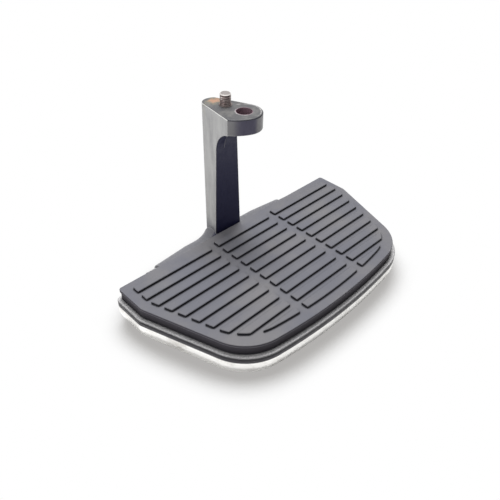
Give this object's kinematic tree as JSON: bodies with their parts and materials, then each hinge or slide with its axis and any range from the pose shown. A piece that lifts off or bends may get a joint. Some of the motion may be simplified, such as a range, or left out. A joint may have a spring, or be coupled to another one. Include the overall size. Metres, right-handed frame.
{
  "type": "motorcycle floorboard",
  "caption": "Folding passenger floorboard: ribbed rubber pad on a lipped pan with a bright belly cover, hinged to a tall cast arm with a bolt hole and a locating pin.",
  "frame": {"origin": "centre of the support arm's bolt hole on its seating face", "axes": "+Z leaves the arm's seating face along the bolt hole, X runs along the board's inner edge, -Y points to the board's outer edge"},
  "size_m": [0.2562, 0.1564, 0.16],
  "materials": {
    "pad_rubber": "matte, dusty, moulded ribs",
    "pan_metal": "as cast, dull and speckled",
    "cover_chrome": "bright plated",
    "arm_paint": "black paint on a rough casting, worn on the seating face",
    "pin_steel": "ground steel with a brown tint",
    "hardware_steel": "zinc plated, dull",
    "bush_bronze": "sintered, oily"
  },
  "bodies": {
    "arm": {"support_arm": "arm_paint", "locating_pin": "pin_steel", "pivot_bush_left": "bush_bronze", "pivot_bush_right": "bush_bronze"},
    "board": {"board_pan": "pan_metal", "rubber_pad": "pad_rubber", "lower_cover": "cover_chrome", "cover_screws": "hardware_steel", "lock_washers": "hardware_steel", "pivot_pin_left": "hardware_steel", "pivot_pin_right": "hardware_steel", "pin_clip_left": "hardware_steel", "pin_clip_right": "hardware_steel", "flat_washer_left": "hardware_steel", "flat_washer_right": "hardware_steel", "spring_washer_left": "hardware_steel", "spring_washer_right": "hardware_steel"}
  },
  "joints": [
    {"name": "board_fold", "type": "hinge", "parent": "arm", "child": "board", "pos_m": [0, 0.0243, -0.1395], "axis": [1, 0, 0], "range_deg": [0, 90]}
  ]
}
